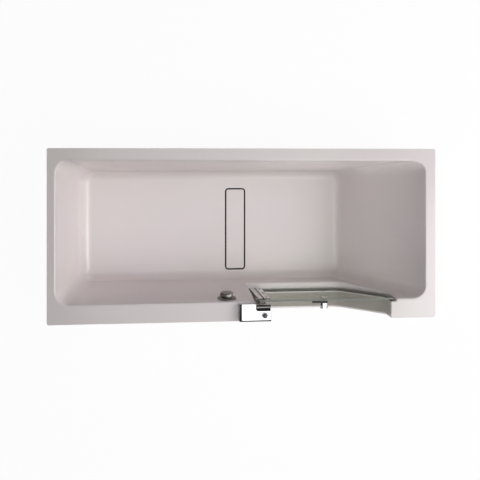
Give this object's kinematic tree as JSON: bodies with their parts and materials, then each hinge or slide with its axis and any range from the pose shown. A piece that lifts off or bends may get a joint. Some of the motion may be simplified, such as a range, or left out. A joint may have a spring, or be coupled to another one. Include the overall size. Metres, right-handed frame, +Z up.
{
  "type": "walk-in bathtub",
  "caption": "Rectangular acrylic bath with a sloping backrest, a low doorway in the front wall closed by an inward-opening glass door, a floor drain channel and an overflow dial.",
  "frame": {"origin": "centre of the bath's rectangle on the floor, under the foot pads", "axes": "+X along the bath towards the sloping backrest, +Y from the front with the door towards the wall, +Z up"},
  "size_m": [1.7, 0.75, 0.6303],
  "materials": {
    "acrylic": "glossy sanitary acrylic",
    "panel": "glossy acrylic sheet",
    "glass": "clear toughened glass",
    "chrome": "polished chrome",
    "steel": "plain bright steel",
    "zinc": "grey coated steel tube",
    "rubber": "matt black rubber",
    "nylon": "matt nylon",
    "pipe": "matt grey pipe plastic",
    "tray": "matt dark plastic",
    "cable": "matt black sheath",
    "board": "raw chipboard"
  },
  "bodies": {
    "tub": {"tub_shell": "acrylic", "front_panel": "panel", "left_panel": "panel", "right_panel": "panel", "upper_bracket": "chrome", "lower_pivot": "chrome", "hinge_block": "chrome", "hinge_base_plate": "chrome", "overflow_face": "chrome", "waste_flange": "chrome", "hinge_screws": "steel", "block_screws": "steel", "panel_screws": "steel", "backing_plates": "steel", "foot_studs": "steel", "foot_nuts": "steel", "front_rail": "zinc", "back_rail": "zinc", "cross_bar_1": "zinc", "cross_bar_2": "zinc", "cross_bar_3": "zinc", "cross_bar_4": "zinc", "front_posts": "zinc", "sill_post": "zinc", "back_posts": "zinc", "left_wall_bracket": "zinc", "right_wall_bracket": "zinc", "opening_seal": "rubber", "overflow_gasket": "rubber", "foot_pads": "rubber", "upper_bush": "nylon", "waste_trap": "pipe", "outlet_pipe": "pipe", "overflow_housing": "pipe", "overflow_pipe": "pipe", "overflow_elbow": "pipe", "overflow_branch": "pipe", "drain_tray": "tray", "waste_cable": "cable", "left_board": "board", "right_board": "board"},
    "door": {"door_glass": "glass", "hinge_stile": "chrome", "clamp_buttons": "chrome", "clamp_screws": "steel", "lower_bush": "nylon", "pivot_pin": "steel", "lock_collar": "chrome", "outer_handle": "chrome", "inner_handle": "chrome", "handle_washers": "nylon", "handle_stud": "steel"},
    "lock_turn": {"lock_knob": "chrome", "lock_spindle": "steel"},
    "lock_slide": {"lock_bolt": "steel"},
    "waste_dial": {"waste_knob": "chrome"},
    "plug": {"drain_plug": "chrome", "plug_seal": "rubber"},
    "cover": {"drain_cover": "acrylic", "cover_feet": "rubber"}
  },
  "joints": [
    {"name": "door_swing", "type": "hinge", "parent": "tub", "child": "door", "pos_m": [0.062, -0.29, 0.4], "axis": [0, 0, 1], "range_deg": [0, 85]},
    {"name": "lock_knob_turn", "type": "hinge", "parent": "tub", "child": "lock_turn", "pos_m": [0.075, -0.345, 0.6], "axis": [0, 0, 1], "range_deg": [0, 90]},
    {"name": "lock_bolt_slide", "type": "slide", "parent": "tub", "child": "lock_slide", "axis": [0, 1, 0], "range_m": [0, 0.0071]},
    {"name": "waste_knob_turn", "type": "hinge", "parent": "tub", "child": "waste_dial", "pos_m": [-0.08, -0.284, 0.52], "axis": [0, 0.995, 0.0995], "range_deg": [0, 90]},
    {"name": "drain_plug_lift", "type": "slide", "parent": "tub", "child": "plug", "axis": [0, 0, 1], "range_m": [0, 0.008]},
    {"name": "drain_cover_lift", "type": "slide", "parent": "tub", "child": "cover", "axis": [0, 0, 1], "range_m": [0, 0.5]}
  ],
  "couplings": [
    {"joint": "lock_bolt_slide", "follows": "lock_knob_turn", "m_per_rad": 0.0045016},
    {"joint": "drain_plug_lift", "follows": "waste_knob_turn", "m_per_rad": 0.00509}
  ]
}
